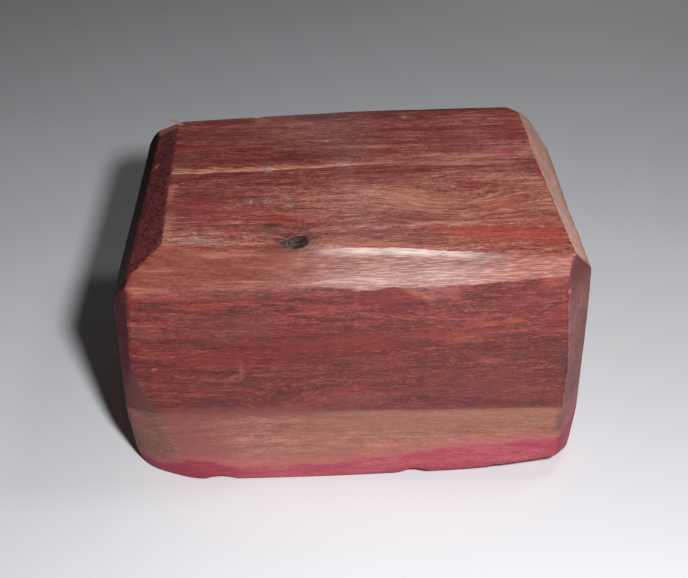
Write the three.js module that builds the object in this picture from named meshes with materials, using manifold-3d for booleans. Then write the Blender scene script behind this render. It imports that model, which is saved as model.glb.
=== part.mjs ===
// A hand-cut wooden ink block: a palm-sized block of streaky red wood whose underside carries dried crimson ink.
// Each edge was trimmed with a few strokes of a knife, and every stroke left one flat facet.
//
// Millimetres, +Z up. The origin is the middle of the underside. X runs along the grain, and -Y is the front.

import * as THREE from "three";
import { mergeVertices } from "three/addons/utils/BufferGeometryUtils.js";
import Module from "manifold-3d";

const wasm = await Module();
wasm.setup();

// ---- Driving dimensions ----

const LENGTH = 72; // along the grain
const DEPTH = 56; // front to back
const HEIGHT = 40;

const SEAM_HEIGHT = 13.5; // where the dark wood meets the pale wood under it
const INK_THICKNESS = 0.25; // the dried ink on the underside

const END = LENGTH / 2;
const SIDE = DEPTH / 2;

// ---- Solids ----

// The manifold-3d solid of a closed three.js geometry.
function solidOf(geometry) {
  const bare = geometry.clone();
  bare.deleteAttribute("normal");
  bare.deleteAttribute("uv");
  const merged = mergeVertices(bare, 1e-5);
  const mesh = new wasm.Mesh({
    numProp: 3,
    vertProperties: merged.attributes.position.array,
    triVerts: new Uint32Array(merged.index.array),
  });
  return new wasm.Manifold(mesh);
}

// The flat-shaded three.js geometry of a manifold-3d solid.
function geometryOf(solid) {
  const { vertProperties, triVerts } = solid.getMesh();
  const geometry = new THREE.BufferGeometry();
  geometry.setAttribute("position", new THREE.BufferAttribute(vertProperties, 3));
  geometry.setIndex(new THREE.BufferAttribute(triVerts, 1));
  const flat = geometry.toNonIndexed();
  flat.computeVertexNormals();
  return flat;
}

// The part of space between two heights, wider than the block.
function layer(bottom, top) {
  const slab = new THREE.BoxGeometry(LENGTH + 10, DEPTH + 10, top - bottom);
  return solidOf(slab.translate(0, 0, (bottom + top) / 2));
}

// ---- Knife strokes ----

// Each stroke is the plane through three points of the block, in millimetres, and takes off what lies beyond it.
const strokes = {
  frontTopFlat: [[-28.4, -21, HEIGHT], [-33.4, -SIDE, 35.6], [32.6, -26.4, HEIGHT]],
  frontTopSteep: [[-33.4, -SIDE, 35.6], [31.6, -SIDE, 37.3], [32.6, -26.6, HEIGHT]],
  leftTopFlat: [[-28.6, -18, HEIGHT], [-29.9, 20, HEIGHT], [-33.6, 0, 37.4]],
  leftTopSteep: [[-33.4, -15, 37.4], [-33.8, 20, 37.4], [-END, 0, 33.6]],
  rightTop: [[32.5, -25.5, HEIGHT], [30.2, 23, HEIGHT], [END, -2, 33.4]],
  backTopLeft: [[-28, 22, HEIGHT], [-2, 24.6, HEIGHT], [-10, SIDE, 36]],
  backTopRight: [[0, 24.9, HEIGHT], [25, 25.5, HEIGHT], [12, SIDE, 36.4]],

  frontLeftUpper: [[-33.3, -SIDE, 36], [-33.8, -SIDE, 26], [-END, -25, 29]],
  frontLeftHeel: [[-30.7, -SIDE, 13.6], [-26, -SIDE, 0], [-32.6, -25.3, 0]],
  frontLeftCorner: [[-END, -25.4, 11.7], [-END, -21.2, 0], [-32.6, -25.3, 0]],
  frontRightUpper: [[END, -21.6, 32.8], [END, -22.4, 24.4], [31.9, -SIDE, 31]],
  frontRightLower: [[32.2, -SIDE, 13], [END, -20.9, 15], [END, -20, 4]],
  backLeftUpright: [[-END, 24.5, 10], [-END, 25.5, 34], [-33.5, SIDE, 20]],
  backRightUpright: [[35.6, 25.5, 34], [34.4, SIDE, 34], [32.5, SIDE, 4]],

  frontUnderMiddle: [[-14, -SIDE, 0], [20, -SIDE, 1.5], [20, -25.4, 0]],
  frontUnderRight: [[18, -SIDE, 1.2], [31, -SIDE, 3.6], [31, -21.8, 0]],
  rightUnder: [[END, -20, 6.5], [END, 10, 7.5], [34.3, -10, 0]],
  leftUnder: [[-END, -20, 1], [-END, 20, 3], [-35, 0, 0]],
  backUnder: [[-20, SIDE, 2.5], [20, SIDE, 3], [0, 25.8, 0]],

  backLeftNick: [[-30.2, 19.9, 39.8], [-33.6, 22.2, 37.6], [-31, 24.5, 38.7]],
  backRightNick: [[28.2, 25.5, HEIGHT], [30.4, 22.9, HEIGHT], [31.4, 25.2, 38.5]],
};

// What one stroke takes off: a big cube with one face on the stroke's plane, on the side away from the block.
function offcut(threePoints) {
  const CUBE = 120;
  const points = threePoints.map((point) => new THREE.Vector3(...point));
  const plane = new THREE.Plane().setFromCoplanarPoints(...points);
  const blockMiddle = new THREE.Vector3(0, 0, HEIGHT / 2);
  if (plane.distanceToPoint(blockMiddle) > 0) plane.negate();
  const onPlane = plane.projectPoint(blockMiddle, new THREE.Vector3());
  const cube = new THREE.BoxGeometry(CUBE, CUBE, CUBE).translate(0, 0, CUBE / 2);
  cube.applyQuaternion(new THREE.Quaternion().setFromUnitVectors(new THREE.Vector3(0, 0, 1), plane.normal));
  return solidOf(cube.translate(...onPlane));
}

// ---- Gouge marks ----

// Shallow strokes of a round gouge across the inked underside. Each runs out through the front face, where it is
// `wide` and reaches the height `deep`, and it rises out of the wood `long` behind that face.
const gouges = [
  { x: -21.6, wide: 5.6, deep: 0.95, long: 34, turn: -6 },
  { x: 9.2, wide: 6.4, deep: 1.8, long: 26, turn: 4 },
  { x: 22.6, wide: 4.6, deep: 2.2, long: 19, turn: -9 },
];

function gougeTool({ x, wide, deep, long, turn }) {
  const RUN_OUT = 8; // how far the tool carries on in front of the block
  const radius = (wide * wide) / (8 * deep) + deep / 2;
  const tool = new THREE.CylinderGeometry(radius, radius, long + RUN_OUT, 40);
  tool.translate(0, (long - RUN_OUT) / 2, 0);
  tool.rotateX(-Math.atan2(deep, long));
  tool.rotateZ(THREE.MathUtils.degToRad(turn));
  return solidOf(tool.translate(x, -SIDE, deep - radius));
}

// ---- The knot ----

// The stub of a small branch: an oval cone that leans back as it goes down. It has shrunk away from its socket.
const KNOT = { x: -8.4, y: -20.9, wide: 4.8, across: 3.6, depth: 9, taper: 0.55, lean: 22, gap: 0.12 };

function knotCone(extra) {
  const ABOVE = 1.5; // beyond the top face, trimmed off with it
  const long = KNOT.depth + ABOVE + extra;
  const cone = new THREE.CylinderGeometry(1, KNOT.taper, long, 32);
  cone.rotateX(Math.PI / 2);
  cone.translate(0, 0, ABOVE - long / 2);
  cone.scale(KNOT.wide / 2 + extra, KNOT.across / 2 + extra, 1);
  cone.rotateX(THREE.MathUtils.degToRad(KNOT.lean));
  return solidOf(cone.translate(KNOT.x, KNOT.y, HEIGHT));
}

// ---- The splinter ----

// A sliver of grain lifted off the back left corner of the top. Its root lies flat on the wood, and its tip stands
// clear beyond the corner. Its section is a triangle with the flat side down.
const splinterSections = [
  { at: [-27.6, 19.9, HEIGHT], wide: 0.7, thick: 0.2 },
  { at: [-29.3, 20.6, HEIGHT], wide: 0.85, thick: 0.45 },
  { at: [-30.3, 21.05, HEIGHT + 0.16], wide: 0.75, thick: 0.42 },
  { at: [-31.5, 21.6, HEIGHT + 0.42], wide: 0.5, thick: 0.34 },
  { at: [-33, 22.2, HEIGHT + 0.8], wide: 0.16, thick: 0.12 },
];

function splinterGeometry() {
  const points = splinterSections.flatMap(({ at: [x, y, z], wide, thick }) => [
    new THREE.Vector3(x, y - wide / 2, z),
    new THREE.Vector3(x, y + wide / 2, z),
    new THREE.Vector3(x, y, z + thick),
  ]);
  const triangles = [[0, 1, 2]];
  for (let start = 0; start < points.length - 3; start += 3) {
    for (let side = 0; side < 3; side++) {
      const here = start + side;
      const next = start + ((side + 1) % 3);
      triangles.push([here, here + 3, next], [next, here + 3, next + 3]);
    }
  }
  const tip = points.length - 3;
  triangles.push([tip, tip + 2, tip + 1]);
  const geometry = new THREE.BufferGeometry().setFromPoints(points);
  geometry.setIndex(triangles.flat());
  const flat = geometry.toNonIndexed();
  flat.computeVertexNormals();
  return flat;
}

// ---- Assembly ----

const materials = {
  dark_wood_body: new THREE.MeshStandardMaterial({ color: 0x8a4a43, roughness: 0.68, metalness: 0 }),
  pale_wood_base: new THREE.MeshStandardMaterial({ color: 0xa46f62, roughness: 0.72, metalness: 0 }),
  knot: new THREE.MeshStandardMaterial({ color: 0x4a3531, roughness: 0.8, metalness: 0 }),
  splinter: new THREE.MeshStandardMaterial({ color: 0x9c6456, roughness: 0.75, metalness: 0 }),
  ink_film: new THREE.MeshStandardMaterial({ color: 0xa83f50, roughness: 0.6, metalness: 0 }),
};

const assembly = new THREE.Group();

function addPiece(name, geometry) {
  const mesh = new THREE.Mesh(geometry, materials[name]);
  mesh.name = name;
  assembly.add(mesh);
}

let trimmed = solidOf(new THREE.BoxGeometry(LENGTH, DEPTH, HEIGHT).translate(0, 0, HEIGHT / 2));
for (const stroke of Object.values(strokes)) trimmed = trimmed.subtract(offcut(stroke));

let gouged = trimmed;
for (const gouge of gouges) gouged = gouged.subtract(gougeTool(gouge));

const darkWood = trimmed.intersect(layer(SEAM_HEIGHT, HEIGHT + 1)).subtract(knotCone(KNOT.gap));
const paleWood = gouged.intersect(layer(INK_THICKNESS, SEAM_HEIGHT));
const ink = gouged.intersect(layer(-1, INK_THICKNESS));

addPiece("dark_wood_body", geometryOf(darkWood));
addPiece("pale_wood_base", geometryOf(paleWood));
addPiece("ink_film", geometryOf(ink));
addPiece("knot", geometryOf(knotCone(0).intersect(trimmed)));
addPiece("splinter", splinterGeometry());

export default assembly;
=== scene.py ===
import itertools
import math

import bmesh
import bpy
import numpy as np
from mathutils import Matrix, Vector


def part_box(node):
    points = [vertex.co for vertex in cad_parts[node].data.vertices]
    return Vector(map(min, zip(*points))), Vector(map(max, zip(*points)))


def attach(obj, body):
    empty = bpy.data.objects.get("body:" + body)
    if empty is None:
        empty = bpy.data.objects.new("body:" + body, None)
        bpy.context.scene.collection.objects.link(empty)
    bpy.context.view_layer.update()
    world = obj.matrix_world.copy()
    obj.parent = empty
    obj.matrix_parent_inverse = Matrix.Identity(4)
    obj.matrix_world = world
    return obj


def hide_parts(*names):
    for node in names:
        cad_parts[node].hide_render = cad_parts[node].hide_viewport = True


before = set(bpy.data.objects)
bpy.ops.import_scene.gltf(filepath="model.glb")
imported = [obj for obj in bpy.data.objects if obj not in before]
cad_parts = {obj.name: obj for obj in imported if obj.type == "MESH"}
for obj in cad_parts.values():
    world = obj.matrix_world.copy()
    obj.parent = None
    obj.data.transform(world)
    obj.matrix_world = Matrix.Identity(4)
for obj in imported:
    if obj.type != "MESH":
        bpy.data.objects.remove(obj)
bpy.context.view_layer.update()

# Shapes are worked out in millimetres and scaled to metres when a mesh is made.
MM = 0.001

WOOD_NODES = ("dark_wood_body", "pale_wood_base", "ink_film")
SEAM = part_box("dark_wood_body")[0].z / MM  # the height where the dark wood meets the pale wood
INK_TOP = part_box("pale_wood_base")[0].z / MM  # the height where the pale wood meets the ink film
# The corners of the box round the block.
LOW = np.array(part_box("ink_film")[0]) / MM
HIGH = np.array(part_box("dark_wood_body")[1]) / MM
LOW[:2] = np.minimum(LOW[:2], np.array(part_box("dark_wood_body")[0])[:2] / MM)
TOP = HIGH[2]
FRONT = LOW[1]


# ---------------------------------------------------------------- repeatable noise


PRIMES = [np.uint64(prime) for prime in (0x9E3779B1, 0x85EBCA77, 0xC2B2AE3D)]


def mixed_bits(values, seed):
    """A repeatable random number from -1 to 1 for each whole number."""
    values = values ^ np.uint64(0x27D4EB2F * (seed + 1))
    for shift in (15, 13):
        values = (values ^ (values >> np.uint64(shift))) * np.uint64(0x2C1B3C6D)
    values ^= values >> np.uint64(16)
    return (values & np.uint64(0xFFFF)).astype(float) / 32767.5 - 1


def noise(points, cell, seed):
    """Smooth noise from -1 to 1. `cell` is the size of one cell along x, y and z, in millimetres."""
    scaled = points / np.asarray(cell, float)
    base = np.floor(scaled)
    t = smoothstep(0, 1, scaled - base)
    base = base.astype(np.int64).astype(np.uint64)
    hashed = [[(base[:, axis] + np.uint64(step)) * PRIMES[axis] for step in (0, 1)] for axis in range(3)]
    weights = [[1 - t[:, axis], t[:, axis]] for axis in range(3)]
    total = 0
    for i, j, k in itertools.product((0, 1), repeat=3):
        value = mixed_bits(hashed[0][i] ^ hashed[1][j] ^ hashed[2][k], seed)
        total = total + weights[0][i] * weights[1][j] * weights[2][k] * value
    return total


def smoothstep(low, high, value):
    """0 at low, 1 at high, and smooth in between."""
    t = np.clip((value - low) / (high - low), 0, 1)
    return t * t * (3 - 2 * t)


# ---------------------------------------------------------------- the knife-cut block

# The facets that look different, each by the rough direction that it faces.
FACETS = {
    "top": [(0, 0, 1)],
    "front": [(0, -1, 0)],
    "front_bevel": [(0, -0.5, 0.86), (0, -0.9, 0.45)],
    "right_bevel": [(0.8, 0, 0.6)],
    "left_bevel": [(-0.5, -0.2, 0.84), (-0.85, 0, 0.55)],
    "left_steep": [(-0.85, 0, 0.55)],
    "back_bevel": [(-0.1, 0.7, 0.7), (0, 0.8, 0.6)],
    "left_chamfer": [(-0.8, -0.6, 0.1), (-0.4, -0.9, -0.1), (-0.75, -0.6, -0.25)],
    "right_chamfer": [(0.83, -0.55, 0.1), (0.88, -0.46, -0.1)],
    "corner_nicks": [(-0.4, 0.3, 0.87), (0.42, 0.36, 0.83)],
    "ends": [(-1, 0, 0), (1, 0, 0)],
}


def facet_planes():
    """The outward normals of the block's flat facets, and their distances from the origin in millimetres.

    A CAD face is on one of them where the whole block lies behind it, which leaves out the seam, the knot's
    socket and the gouge marks.
    """
    meshes = [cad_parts[name].data for name in WOOD_NODES]
    corners = np.array([v.co for mesh in meshes for v in mesh.vertices]) / MM
    normals, distances = [], []
    for mesh in meshes:
        for face in mesh.polygons:
            normal = np.array(face.normal)
            distance = float(normal @ np.array(mesh.vertices[face.vertices[0]].co)) / MM
            if face.area < 1e-9 or (corners @ normal).max() > distance + 0.002:
                continue
            if all(np.dot(normal, known) < 0.9999 for known in normals):
                normals.append(normal)
                distances.append(distance)
    return np.array(normals), np.array(distances)


NORMALS, DISTANCES = facet_planes()


def facets_of(name):
    """The row numbers of the facets that face the directions listed under that name."""
    directions = np.array(FACETS[name], float)
    directions /= np.linalg.norm(directions, axis=1)[:, None]
    return sorted({int(row) for row in np.argmax(NORMALS @ directions.T, axis=0)})


TOP_ROW, FRONT_ROW, RIGHT_BEVEL_ROW = (facets_of(name)[0] for name in ("top", "front", "right_bevel"))

# A ledge of torn grain crosses the top from the left end: [start, end] of its line, in x and y.
LEDGE = np.array([(-30.0, 1.5), (6.0, 4.0)])
LEDGE_DROP = 0.26

# A thin flake is missing from the front, below the bevel. Its torn right edge climbs to the left from here.
TEAR_X, TEAR_Z, TEAR_SLOPE = 11.2, 33.7, -0.55

# Small chips: where, the radius of the scoop, and how deep it goes.
CHIPS = [
    ((35.1, -24.3, 17.0), 0.9, 0.3),
    ((31.7, FRONT + 0.1, 34.7), 0.5, 0.15),
    ((-16.2, 23.3, TOP), 1.3, 0.4),
    ((-35.4, -19.0, 33.5), 0.8, 0.25),
    ((34.9, 4.0, 35.2), 1.6, 0.25),
    ((-32.4, 8.0, 38.3), 1.1, 0.22),
    ((30.6, 11.0, TOP), 0.8, 0.25),
]

# The gouge strokes under the front edge: x at the front face, width, height there, length, turn in degrees.
GOUGES = [(-21.6, 5.6, 0.95, 34, -6), (9.2, 6.4, 1.8, 26, 4), (22.6, 4.6, 2.2, 19, -9)]


def ledge_relief(points):
    """How far the top lies under its plane because of the torn ledge."""
    (x0, y0), (x1, y1) = LEDGE
    ledge_y = y0 + (points[:, 0] - x0) * (y1 - y0) / (x1 - x0)
    ledge_y = ledge_y + 0.18 * noise(points * [1, 0, 0], (5, 1, 1), 31)
    below = ledge_y - points[:, 1]
    fade = 1 - smoothstep(-4, x1 + 3, points[:, 0])
    return LEDGE_DROP * fade * smoothstep(0, 0.35, below) * np.exp(-np.maximum(below, 0) / 4.5)


def facet_relief(points):
    """How far each facet lies under its plane at each point, one column for each facet."""
    relief = np.zeros((len(points), len(NORMALS)))
    grain = 0.03 * noise(points, (16, 1.3, 1.3), 1) + 0.018 * noise(points, (7, 0.6, 0.6), 2)
    relief += grain[:, None]
    hand = 0.07 * noise(points, (13, 13, 13), 3) + 0.035 * noise(points, (4.5, 4.5, 4.5), 4)
    knife_cut = [name for name in FACETS if name not in ("top", "front", "ends")]
    relief[:, sorted(set().union(*map(facets_of, knife_cut)))] += hand[:, None]
    relief[:, TOP_ROW] += ledge_relief(points) + 0.03 * noise(points, (30, 6, 9), 5)
    relief[:, FRONT_ROW] += 0.06 * noise(points, (24, 9, 7), 6)
    # The stroke down the right bevel bit deeper halfway along, and its edge is ragged.
    dip = 0.22 * np.exp(-(((points[:, 1] - 3) / 9) ** 2)) + 0.1 * noise(points, (9, 2.2, 9), 7)
    relief[:, RIGHT_BEVEL_ROW] += dip
    # The front bevel is deepest in the middle of its stroke, and its lower edge wanders.
    stroke = 0.45 * np.exp(-(((points[:, 0] - 9) / 13) ** 2)) + 0.07 * noise(points, (6, 9, 9), 8)
    relief[:, facets_of("front_bevel")] += stroke[:, None]
    beyond = points[:, 2] - TEAR_Z - TEAR_SLOPE * (points[:, 0] - TEAR_X)
    flake = smoothstep(0.1, -0.1, beyond) * smoothstep(-4, -0.5, beyond)
    flake *= smoothstep(33, 34.5, points[:, 2])
    relief[:, FRONT_ROW] += 0.14 * flake * smoothstep(-2, 5, points[:, 0])
    seam = 0.05 * np.exp(-(((points[:, 2] - SEAM) / 0.16) ** 2))
    upright = np.abs(NORMALS[:, 2]) < 0.3
    relief[:, upright] += seam[:, None]
    relief[:, NORMALS[:, 2] < -0.99] = 0
    return relief


def soft_max(values, softness):
    """The greatest value in each row, rounded where two are nearly alike."""
    softness = np.reshape(softness, (-1, 1))
    peak = values.max(axis=1, keepdims=True)
    total = np.exp((values - peak) / softness).sum(axis=1, keepdims=True)
    return (peak + softness * np.log(total))[:, 0]


def block_field(points, relief):
    """How far each point stands outside the block, in millimetres. Its edges are slightly worn."""
    heights = points @ NORMALS.T - DISTANCES + relief
    twisted = facets_of("front_bevel")
    bevel = soft_max(heights[:, twisted], 0.45)
    # Its top edge is burnished round to the right of the knot.
    burnish = 0.09 + 0.25 * smoothstep(-12, 4, points[:, 0]) * smoothstep(34, 18, points[:, 0])
    rounded = soft_max(np.column_stack([heights[:, TOP_ROW], bevel]), burnish)
    rest = [row for row in range(len(NORMALS)) if row not in twisted and row != TOP_ROW]
    heights = np.column_stack([heights[:, rest], rounded])
    x, y, z = points.T
    low_wear = smoothstep(14, 0, z)
    # The left end of the bevel runs into the front with no clear edge, and so does the heel below it.
    faded = smoothstep(2, -14, x) * smoothstep(FRONT + 5, FRONT + 1.5, y) * smoothstep(31, 34, z)
    heel = smoothstep(-22, -30, x) * smoothstep(26, 14, z)
    wear = 0.085 + 0.03 * noise(points, (8, 8, 8), 9) + 0.16 * low_wear + 0.35 * faded + 0.2 * heel
    return soft_max(heights, wear)


def hollow_field(points):
    """How far each point lies inside a gouge mark or a chip, in millimetres."""
    deepest = np.full(len(points), -9.0)
    for x, wide, deep, long, turn in GOUGES:
        radius = wide * wide / (8 * deep) + deep / 2
        rise, heading = math.atan2(deep, long), math.radians(turn)
        level = math.cos(rise)
        along = np.array([-math.sin(heading) * level, math.cos(heading) * level, -math.sin(rise)])
        away = points - np.array([x, FRONT, deep - radius])
        across = np.linalg.norm(away - np.outer(away @ along, along), axis=1)
        flutter = 0.05 * noise(points, (0.7, 3, 0.7), 10)
        deepest = np.maximum(deepest, radius + flutter - across)
    for spot, radius, depth in CHIPS:
        spot = np.array(spot)
        facing = NORMALS[int(np.argmax(NORMALS @ spot - DISTANCES))]
        centre = spot + facing * (radius - depth)
        ragged = 0.08 * noise(points, (2.5, 0.8, 0.8), 11)
        deepest = np.maximum(deepest, radius + ragged - np.linalg.norm(points - centre, axis=1))
    return deepest


def surface_points(outer):
    """Where the block's surface is, on the way from its core to each point of a box around it."""
    CORE_INSET = 9.0
    core = np.clip(outer, LOW + CORE_INSET, HIGH - CORE_INSET)
    away = outer - core
    away /= np.linalg.norm(away, axis=1)[:, None]
    slope = away @ NORMALS.T
    reach = np.where(slope > 1e-6, (DISTANCES - core @ NORMALS.T) / np.maximum(slope, 1e-6), np.inf)
    leading = np.argmin(reach, axis=1)
    rows = np.arange(len(outer))
    t = reach[rows, leading]
    relief = facet_relief(core + away * t[:, None])
    steepness = slope[rows, leading]
    for _ in range(7):
        t -= block_field(core + away * t[:, None], relief) / np.maximum(steepness, 0.5)
    t = stop_at_hollows(core, away, t)
    return core + away * t[:, None], relief


def stop_at_hollows(core, away, t):
    """Shortens the ways from the core that end in a hollow, so that they stop at its wall."""
    STEP, STEPS = 0.12, 26
    t = t.copy()
    near = np.flatnonzero(hollow_field(core + away * t[:, None]) > -STEP * STEPS)
    core, away, outer = core[near], away[near], t[near]

    def in_hollow(distance):
        return hollow_field(core + away * distance[:, None]) > 0

    # Step back from the surface to find the innermost place that is in a hollow, then close in on the wall.
    first = outer.copy()
    found = in_hollow(outer)
    for count in range(1, STEPS + 1):
        back = outer - count * STEP
        inside = in_hollow(back)
        first = np.where(inside, back, first)
        found |= inside
    solid, hollow = first - STEP, first
    for _ in range(12):
        half = (solid + hollow) / 2
        inside = in_hollow(half)
        hollow = np.where(inside, half, hollow)
        solid = np.where(inside, solid, half)
    t[near] = np.where(found, hollow, outer)
    return t


# ---------------------------------------------------------------- meshes


def stations(low, high, fine_low, fine_high, fine, coarse, extra=()):
    """Places along one side of the box: fine near both ends, coarse between, and the extra ones."""
    start, end = low + fine_low, high - fine_high
    places = np.concatenate([
        np.linspace(low, start, round(fine_low / fine), endpoint=False),
        np.linspace(start, end, round((high - low - fine_low - fine_high) / coarse), endpoint=False),
        np.linspace(end, high, round(fine_high / fine) + 1),
    ])
    for place in extra:
        places = places[np.abs(places - place) > 0.12]
    return np.sort(np.concatenate([places, np.array(extra, float)]))


def box_grid(xs, ys, zs):
    """The points and outward-facing quads of a box-shaped grid through the given stations."""
    number = np.full((len(xs), len(ys), len(zs)), -1)
    on_shell = np.zeros(number.shape, bool)
    on_shell[[0, -1]] = True
    on_shell[:, [0, -1]] = True
    on_shell[:, :, [0, -1]] = True
    cells = np.argwhere(on_shell)
    number[on_shell] = np.arange(len(cells))
    points = np.column_stack([xs[cells[:, 0]], ys[cells[:, 1]], zs[cells[:, 2]]])
    sheets = [
        (number[0], True),
        (number[-1], False),
        (number[:, 0], False),
        (number[:, -1], True),
        (number[:, :, 0], True),
        (number[:, :, -1], False),
    ]
    quads = []
    for sheet, turned in sheets:
        quad = np.stack([sheet[:-1, :-1], sheet[1:, :-1], sheet[1:, 1:], sheet[:-1, 1:]], axis=-1)
        quad = quad.reshape(-1, 4)
        quads.append(quad[:, ::-1] if turned else quad)
    return points, np.concatenate(quads)


FIELDS = (*FACETS, "hollow")
OUTSIDE = -6.0  # the value of a facet's field well outside that facet


def in_scene(name, data):
    """A new object with that data."""
    made = bpy.data.objects.new(name, data)
    bpy.context.scene.collection.objects.link(made)
    return made


def make_object(name, points, faces, fields=None):
    """A smooth-shaded object from points in millimetres. Each field holds one number for each point."""
    mesh = bpy.data.meshes.new(name)
    mesh.from_pydata((points * MM).tolist(), [], [list(map(int, face)) for face in faces])
    for field, values in (fields or {}).items():
        layer = mesh.attributes.new(field, "FLOAT", "POINT")
        layer.data.foreach_set("value", np.asarray(values, np.float32))
    mesh.shade_smooth()
    return in_scene(name, mesh)


def facet_fields(points, relief):
    """How far inside the border of each kind of facet each point lies, in millimetres. Below 0 outside."""
    heights = points @ NORMALS.T - DISTANCES + relief
    fields = {}
    for name in FACETS:
        rows = facets_of(name)
        others = [row for row in range(len(NORMALS)) if row not in rows]
        inside = heights[:, rows].max(axis=1) - heights[:, others].max(axis=1)
        fields[name] = np.clip(inside, OUTSIDE, -OUTSIDE)
    fields["hollow"] = np.clip(hollow_field(points), OUTSIDE, -OUTSIDE)
    return fields


def whole_block():
    """The whole block as one mesh, before it is parted at the seam and at the ink film."""
    seam_lines = [SEAM + offset for offset in (-0.3, -0.12, 0, 0.12, 0.3)]
    coarser = 1
    xs = stations(LOW[0], HIGH[0], 10, 9.5, 0.27 * coarser, 0.5 * coarser)
    ys = stations(LOW[1], HIGH[1], 10.5, 8, 0.27 * coarser, 0.5 * coarser)
    zs = stations(LOW[2], HIGH[2], 9, 10, 0.27 * coarser, 0.45 * coarser, seam_lines)
    outer, quads = box_grid(xs, ys, zs)
    points, relief = surface_points(outer)
    return make_object("block", points, quads, facet_fields(points, relief))


def layer_of(block, name, bottom, top):
    """The part of the block between two heights, closed where it is cut. A height of None is left uncut."""
    cut = bmesh.new()
    cut.from_mesh(block.data)
    for height, facing in ((bottom, -1), (top, 1)):
        if height is None:
            continue
        found = bmesh.ops.bisect_plane(
            cut,
            geom=cut.verts[:] + cut.edges[:] + cut.faces[:],
            dist=1e-7,
            plane_co=(0, 0, height * MM),
            plane_no=(0, 0, facing),
            clear_outer=True,
        )
        edges = [item for item in found["geom_cut"] if isinstance(item, bmesh.types.BMEdge)]
        rim = [edge for edge in edges if edge.is_boundary]
        for edge in rim:
            edge.smooth = False
        caps = bmesh.ops.edgeloop_fill(cut, edges=rim)["faces"]
        for face in caps:
            face.smooth = False
    bmesh.ops.recalc_face_normals(cut, faces=cut.faces[:])
    mesh = bpy.data.meshes.new(name)
    cut.to_mesh(mesh)
    cut.free()
    return in_scene(name, mesh)


def apply_modifiers(piece):
    """Makes the result of a piece's modifiers its own mesh."""
    bpy.context.view_layer.update()
    evaluated = piece.evaluated_get(bpy.context.evaluated_depsgraph_get())
    mesh = bpy.data.meshes.new_from_object(evaluated)
    piece.modifiers.clear()
    piece.data = mesh


def carve(piece, cutter):
    """Cuts the cutter out of the piece and removes the cutter."""
    boolean = piece.modifiers.new("socket", "BOOLEAN")
    boolean.operation = "DIFFERENCE"
    boolean.solver = "MANIFOLD"
    boolean.object = cutter
    apply_modifiers(piece)
    bpy.data.objects.remove(cutter)


def tube_faces(rows, spokes):
    """The faces of a closed tube whose points lie ring after ring."""
    faces = [list(reversed(range(spokes)))]
    for row, spoke in itertools.product(range(rows - 1), range(spokes)):
        following = (spoke + 1) % spokes
        here, there = row * spokes, (row + 1) * spokes
        faces.append([here + spoke, here + following, there + following, there + spoke])
    faces.append([(rows - 1) * spokes + spoke for spoke in range(spokes)])
    return faces


# ---------------------------------------------------------------- the knot


def knot_axis():
    """The middle of the knot at the top of the block, the middle of its inner end, and its radii across."""
    corners = np.array([v.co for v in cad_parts["knot"].data.vertices]) / MM
    inner = corners[corners[:, 2] < corners[:, 2].min() + 1.1]
    outer = corners[corners[:, 2] > TOP - 0.01]
    middle = np.array([(outer[:, 0].min() + outer[:, 0].max()) / 2, outer[:, 1].max(), TOP])
    across = (outer[:, 0].max() - outer[:, 0].min()) / 2
    depth = 0.78 * across
    middle[1] -= depth
    return middle + [-0.25, -0.5, 0], inner.mean(axis=0), 0.95 * across, depth


def knot_mesh(name, extra, above, sunken):
    """An oval cone down the knot's axis, `extra` wider, that ends `above` the top face, in millimetres.

    With `sunken`, its end follows the block's surface slightly below it, cracked like old end grain.
    """
    RINGS, SPOKES, LAYERS = 26, 96, 14
    middle, inner, across, depth = knot_axis()
    axis = (middle - inner) / np.linalg.norm(middle - inner)
    turn = np.linspace(0, 2 * math.pi, SPOKES, endpoint=False)
    ring = np.column_stack([np.cos(turn), np.sin(turn), np.zeros(SPOKES)])
    wobble = 1 + 0.09 * noise(ring, (0.8, 0.8, 1), 21) + 0.04 * noise(ring, (0.25, 0.25, 1), 22)
    # It is longer at the back right and flat at the back left.
    wobble += 0.42 * np.exp(-(((turn - 1.15) / 0.42) ** 2)) - 0.2 * np.exp(-(((turn - 2.3) / 0.5) ** 2))
    outline = ring * wobble[:, None]
    oval = np.array([across + extra, depth + extra, 0])
    shares = np.linspace(0.02, 1, RINGS)
    surface = np.concatenate([middle + outline * oval * share for share in shares])
    surface[:, 2] = above + TOP
    if sunken:
        drop = np.zeros(len(surface))
        relief = facet_relief(surface)
        for _ in range(8):
            drop += block_field(surface - [0, 0, 1] * drop[:, None], relief)
        rim = np.repeat(shares, SPOKES)
        angle = np.tile(turn, RINGS)
        star = np.abs(np.sin(angle * 2.5 + 0.8 * rim)) ** 0.35
        cracks = (1 - star) * smoothstep(0.1, 0.4, rim) * smoothstep(1.0, 0.8, rim)
        rough = 0.07 * noise(surface, (0.5, 0.5, 0.5), 23) + 0.04 * noise(surface, (0.22, 0.22, 0.22), 24)
        bowl = 0.08 + 0.1 * smoothstep(0.9, 0.2, rim) + 0.06 * smoothstep(0.86, 1, rim)
        surface[:, 2] -= drop + bowl + rough + 0.3 * cracks
    walls = []
    reach = np.linalg.norm(middle - inner)
    for share in np.linspace(0, 1, LAYERS + 1)[1:]:
        centre = middle - axis * reach * share
        taper = 1 - 0.42 * share
        wall = centre + outline * oval * taper
        wall[:, 2] -= 0.4 * extra
        walls.append(wall)
    points = np.concatenate([surface] + walls)
    faces = [face[:1] + face[:0:-1] for face in tube_faces(RINGS + LAYERS, SPOKES)]
    outside = np.full(len(points), OUTSIDE)
    return make_object(name, points, faces, {field: outside for field in FIELDS})


# ---------------------------------------------------------------- the splinter and loose fibres


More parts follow.
